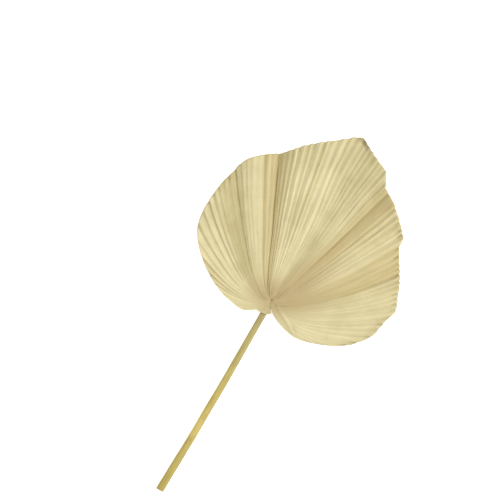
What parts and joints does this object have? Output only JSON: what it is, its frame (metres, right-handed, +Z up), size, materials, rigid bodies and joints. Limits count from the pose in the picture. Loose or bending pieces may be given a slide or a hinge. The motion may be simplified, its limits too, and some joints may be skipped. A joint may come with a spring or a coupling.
{
  "type": "dried palm leaf",
  "caption": "Dried fan palm leaf lying flat: a pleated, heart-shaped straw-coloured blade with a trimmed margin on a slim cut stalk.",
  "frame": {"origin": "middle of the leaf's outline seen from above, on the surface that it lies on", "axes": "+Y from the cut end of the stalk towards the tip of the blade, +Z up out of the upper side of the blade, +X to the right when the tip points away"},
  "size_m": [0.2378, 0.4462, 0.0206],
  "materials": {
    "blade": "matte",
    "stalk": "satin"
  },
  "bodies": {
    "root": {"blade": "blade", "stalk": "stalk"}
  },
  "joints": []
}
